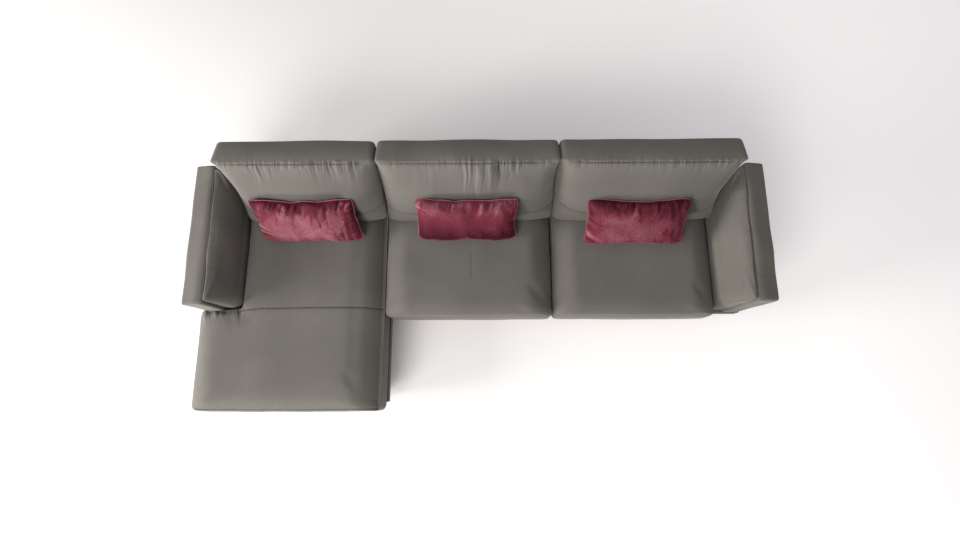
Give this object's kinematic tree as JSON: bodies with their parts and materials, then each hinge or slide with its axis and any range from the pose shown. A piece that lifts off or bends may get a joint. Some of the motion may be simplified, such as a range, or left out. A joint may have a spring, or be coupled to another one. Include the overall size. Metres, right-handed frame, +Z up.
{
  "type": "corner sofa with chaise",
  "caption": "Low upholstered corner sofa with a chaise on the left, padded arms, leaning back cushions, short feet and loose scatter cushions.",
  "frame": {"origin": "on the floor, under the middle of the sofa's box", "axes": "+Z up, +Y from the seat fronts to the backs, +X along the sofa from the chaise to the end seat"},
  "size_m": [3.3, 1.452, 0.8661],
  "materials": {
    "cover_fabric": "matte",
    "velvet": "matte",
    "foam": "matte",
    "frame_wood": "matte",
    "webbing": "matte",
    "dust_cloth": "matte",
    "feet_metal": "satin",
    "felt": "matte",
    "steel": "satin"
  },
  "bodies": {
    "frame": {"centre_back_frame": "frame_wood", "centre_back_panel": "cover_fabric", "centre_dust_cover": "dust_cloth", "centre_front_rail": "frame_wood", "centre_left_rail": "frame_wood", "centre_rear_rail": "frame_wood", "centre_right_rail": "frame_wood", "centre_seat_cushion": "cover_fabric", "centre_seat_foam": "foam", "centre_webbing": "webbing", "chaise_back_frame": "frame_wood", "chaise_back_panel": "cover_fabric", "chaise_cross_rail": "frame_wood", "chaise_dust_cover": "dust_cloth", "chaise_front_rail": "frame_wood", "chaise_left_rail": "frame_wood", "chaise_rear_rail": "frame_wood", "chaise_right_rail": "frame_wood", "chaise_seat_cushion": "cover_fabric", "chaise_seat_foam": "foam", "chaise_webbing": "webbing", "connector_hooks": "steel", "connector_sockets": "steel", "end_back_frame": "frame_wood", "end_back_panel": "cover_fabric", "end_dust_cover": "dust_cloth", "end_front_rail": "frame_wood", "end_left_rail": "frame_wood", "end_rear_rail": "frame_wood", "end_right_rail": "frame_wood", "end_seat_cushion": "cover_fabric", "end_seat_foam": "foam", "end_webbing": "webbing", "foot_centre_front_left": "feet_metal", "foot_centre_front_right": "feet_metal", "foot_centre_rear_left": "feet_metal", "foot_centre_rear_right": "feet_metal", "foot_chaise_front_left": "feet_metal", "foot_chaise_front_right": "feet_metal", "foot_chaise_rear_left": "feet_metal", "foot_chaise_rear_right": "feet_metal", "foot_end_front_left": "feet_metal", "foot_end_front_right": "feet_metal", "foot_end_rear_left": "feet_metal", "foot_end_rear_right": "feet_metal", "foot_glides": "felt", "left_arm_casing": "cover_fabric", "left_arm_frame": "frame_wood", "left_arm_pad": "cover_fabric", "right_arm_casing": "cover_fabric", "right_arm_frame": "frame_wood", "right_arm_pad": "cover_fabric"},
    "chaise_back": {"chaise_back_cushion": "cover_fabric"},
    "centre_back": {"centre_back_cushion": "cover_fabric"},
    "end_back": {"end_back_cushion": "cover_fabric"},
    "scatter_left": {"scatter_cushion_left": "velvet"},
    "scatter_centre": {"scatter_cushion_centre": "velvet"},
    "scatter_right": {"scatter_cushion_right": "velvet"}
  },
  "joints": [
    {"name": "chaise_back_lift", "type": "slide", "parent": "frame", "child": "chaise_back", "axis": [0, 0.3833, 0.9236], "range_m": [0, 0.25]},
    {"name": "centre_back_lift", "type": "slide", "parent": "frame", "child": "centre_back", "axis": [0, 0.3833, 0.9236], "range_m": [0, 0.25]},
    {"name": "end_back_lift", "type": "slide", "parent": "frame", "child": "end_back", "axis": [0, 0.3833, 0.9236], "range_m": [0, 0.25]},
    {"name": "scatter_left_lift", "type": "slide", "parent": "frame", "child": "scatter_left", "axis": [0, 0, 1], "range_m": [0, 0.25]},
    {"name": "scatter_centre_lift", "type": "slide", "parent": "frame", "child": "scatter_centre", "axis": [0, 0, 1], "range_m": [0, 0.25]},
    {"name": "scatter_right_lift", "type": "slide", "parent": "frame", "child": "scatter_right", "axis": [0, 0, 1], "range_m": [0, 0.25]}
  ]
}
